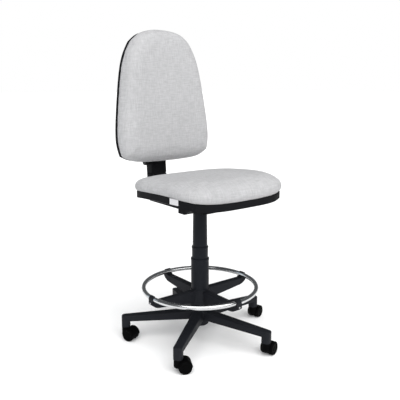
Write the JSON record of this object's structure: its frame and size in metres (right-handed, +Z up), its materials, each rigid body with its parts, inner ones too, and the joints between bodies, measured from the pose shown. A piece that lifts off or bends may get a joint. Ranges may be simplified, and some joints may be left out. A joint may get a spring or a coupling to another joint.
{
  "type": "drafting chair",
  "caption": "Armless drafting chair: padded seat and tall back on a telescopic gas column, chrome foot ring, five-arm base on twin-wheel casters.",
  "frame": {"origin": "on the floor, straight below the column's axis", "axes": "+Z up, the chair faces -Y, +X is the sitter's left"},
  "size_m": [0.6209, 0.6456, 1.2183],
  "materials": {
    "base_nylon": "satin moulded glass-filled nylon",
    "cover_plastic": "satin moulded plastic",
    "shell_plastic": "fine-grained moulded plastic",
    "grip_plastic": "satin",
    "caster_nylon": "satin",
    "pan_plastic": "rough inner moulding",
    "white_nylon": "natural acetal",
    "black_steel": "black powder coat",
    "steel": "zinc plated",
    "chrome": "polished",
    "rubber": "matt",
    "seat_fabric": "plain-woven light grey upholstery cloth",
    "label_cloth": "blank woven tag"
  },
  "bodies": {
    "base": {"base_star": "base_nylon", "caster_stems": "steel", "stand_tube": "black_steel", "guide_bush": "white_nylon", "lift_bearing": "steel", "cover_lower": "cover_plastic", "footring_hub": "base_nylon", "footring_tube": "chrome", "footring_clamps": "base_nylon", "footring_screws": "steel"},
    "caster_1": {"caster_1_hood": "caster_nylon", "caster_1_axle": "steel"},
    "caster_1_wheel_a": {"caster_1_wheel_a": "caster_nylon"},
    "caster_1_wheel_b": {"caster_1_wheel_b": "caster_nylon"},
    "caster_2": {"caster_2_hood": "caster_nylon", "caster_2_axle": "steel"},
    "caster_2_wheel_a": {"caster_2_wheel_a": "caster_nylon"},
    "caster_2_wheel_b": {"caster_2_wheel_b": "caster_nylon"},
    "caster_3": {"caster_3_hood": "caster_nylon", "caster_3_axle": "steel"},
    "caster_3_wheel_a": {"caster_3_wheel_a": "caster_nylon"},
    "caster_3_wheel_b": {"caster_3_wheel_b": "caster_nylon"},
    "caster_4": {"caster_4_hood": "caster_nylon", "caster_4_axle": "steel"},
    "caster_4_wheel_a": {"caster_4_wheel_a": "caster_nylon"},
    "caster_4_wheel_b": {"caster_4_wheel_b": "caster_nylon"},
    "caster_5": {"caster_5_hood": "caster_nylon", "caster_5_axle": "steel"},
    "caster_5_wheel_a": {"caster_5_wheel_a": "caster_nylon"},
    "caster_5_wheel_b": {"caster_5_wheel_b": "caster_nylon"},
    "lift_rod": {"piston_rod": "chrome", "retaining_clip": "steel", "bump_stop": "rubber"},
    "middle_cover": {"cover_middle": "cover_plastic"},
    "seat": {"gas_cylinder": "black_steel", "cover_upper": "cover_plastic", "mech_housing": "black_steel", "mech_cover": "shell_plastic", "pivot_pin": "steel", "tilt_spring": "steel", "seat_pan": "pan_plastic", "seat_inserts": "steel", "seat_bolts": "steel", "seat_shell": "shell_plastic", "seat_pad": "seat_fabric", "seat_label": "label_cloth"},
    "release_button": {"release_button": "steel"},
    "gas_lever": {"gas_lever": "grip_plastic"},
    "tilt_lever": {"tilt_lever": "grip_plastic"},
    "back_arm": {"back_bracket": "black_steel", "bar_bolts": "steel", "spine_bar": "black_steel", "spine_cover": "shell_plastic"},
    "backrest": {"back_carriage": "shell_plastic", "back_board": "pan_plastic", "back_screws": "steel", "back_shell": "shell_plastic", "back_pad": "seat_fabric"},
    "height_knob": {"height_knob": "grip_plastic"}
  },
  "joints": [
    {"name": "caster_1_swivel", "type": "hinge", "parent": "base", "child": "caster_1", "pos_m": [-0.23839, -0.17964, 0.05], "axis": [0, 0, 1], "continuous": true},
    {"name": "caster_1_roll_a", "type": "hinge", "parent": "caster_1", "child": "caster_1_wheel_a", "pos_m": [-0.21835, -0.18986, 0.025], "axis": [0.454, 0.891, 0], "continuous": true},
    {"name": "caster_1_roll_b", "type": "hinge", "parent": "caster_1", "child": "caster_1_wheel_b", "pos_m": [-0.21835, -0.18986, 0.025], "axis": [0.454, 0.891, 0], "continuous": true},
    {"name": "caster_2_swivel", "type": "hinge", "parent": "base", "child": "caster_2", "pos_m": [0.09718, -0.28224, 0.05], "axis": [0, 0, 1], "continuous": true},
    {"name": "caster_2_roll_a", "type": "hinge", "parent": "caster_2", "child": "caster_2_wheel_a", "pos_m": [0.11881, -0.27603, 0.025], "axis": [-0.2756, 0.9613, 0], "continuous": true},
    {"name": "caster_2_roll_b", "type": "hinge", "parent": "caster_2", "child": "caster_2_wheel_b", "pos_m": [0.11881, -0.27603, 0.025], "axis": [-0.2756, 0.9613, 0], "continuous": true},
    {"name": "caster_3_swivel", "type": "hinge", "parent": "base", "child": "caster_3", "pos_m": [0.29846, 0.00521, 0.05], "axis": [0, 0, 1], "continuous": true},
    {"name": "caster_3_roll_a", "type": "hinge", "parent": "caster_3", "child": "caster_3_wheel_a", "pos_m": [0.31997, 0.01179, 0.025], "axis": [-0.2924, 0.9563, 0], "continuous": true},
    {"name": "caster_3_roll_b", "type": "hinge", "parent": "caster_3", "child": "caster_3_wheel_b", "pos_m": [0.31997, 0.01179, 0.025], "axis": [-0.2924, 0.9563, 0], "continuous": true},
    {"name": "caster_4_swivel", "type": "hinge", "parent": "base", "child": "caster_4", "pos_m": [0.08727, 0.28546, 0.05], "axis": [0, 0, 1], "continuous": true},
    {"name": "caster_4_roll_a", "type": "hinge", "parent": "caster_4", "child": "caster_4_wheel_a", "pos_m": [0.10174, 0.26822, 0.025], "axis": [0.766, 0.6428, 0], "continuous": true},
    {"name": "caster_4_roll_b", "type": "hinge", "parent": "caster_4", "child": "caster_4_wheel_b", "pos_m": [0.10174, 0.26822, 0.025], "axis": [0.766, 0.6428, 0], "continuous": true},
    {"name": "caster_5_swivel", "type": "hinge", "parent": "base", "child": "caster_5", "pos_m": [-0.24452, 0.17121, 0.05], "axis": [0, 0, 1], "continuous": true},
    {"name": "caster_5_roll_a", "type": "hinge", "parent": "caster_5", "child": "caster_5_wheel_a", "pos_m": [-0.23609, 0.15035, 0.025], "axis": [0.9272, 0.3746, 0], "continuous": true},
    {"name": "caster_5_roll_b", "type": "hinge", "parent": "caster_5", "child": "caster_5_wheel_b", "pos_m": [-0.23609, 0.15035, 0.025], "axis": [0.9272, 0.3746, 0], "continuous": true},
    {"name": "seat_swivel", "type": "hinge", "parent": "base", "child": "lift_rod", "pos_m": [0, 0, 0.06], "axis": [0, 0, 1], "continuous": true},
    {"name": "seat_height", "type": "slide", "parent": "lift_rod", "child": "seat", "axis": [0, 0, 1], "range_m": [-0.115, 0.08]},
    {"name": "middle_cover_slide", "type": "slide", "parent": "base", "child": "middle_cover", "axis": [0, 0, 1], "range_m": [-0.04025, 0.028]},
    {"name": "gas_lever_pull", "type": "hinge", "parent": "seat", "child": "gas_lever", "pos_m": [0.026, 0, 0.5565], "axis": [0, -1, 0], "range_deg": [0, 6], "stiffness_Nm_per_rad": 4, "springref_deg": -3.44},
    {"name": "release_button_press", "type": "slide", "parent": "seat", "child": "release_button", "axis": [0, 0, -1], "range_m": [0, 0.0027]},
    {"name": "tilt_lock_turn", "type": "hinge", "parent": "seat", "child": "tilt_lever", "pos_m": [0, 0.03, 0.553], "axis": [1, 0, 0], "range_deg": [-18, 0]},
    {"name": "back_tilt", "type": "hinge", "parent": "seat", "child": "back_arm", "pos_m": [0, 0.058, 0.541], "axis": [-1, 0, 0], "range_deg": [-5, 15]},
    {"name": "back_height", "type": "slide", "parent": "back_arm", "child": "backrest", "axis": [0, 0.0732, 0.9973], "range_m": [0, 0.06]},
    {"name": "height_knob_turn", "type": "hinge", "parent": "backrest", "child": "height_knob", "pos_m": [-0.05, 0.30386, 0.69045], "axis": [-1, 0, 0], "range_deg": [-180, 180]}
  ],
  "couplings": [
    {"joint": "middle_cover_slide", "follows": "seat_height", "ratio": 0.35},
    {"joint": "release_button_press", "follows": "gas_lever_pull", "m_per_rad": 0.0248}
  ]
}
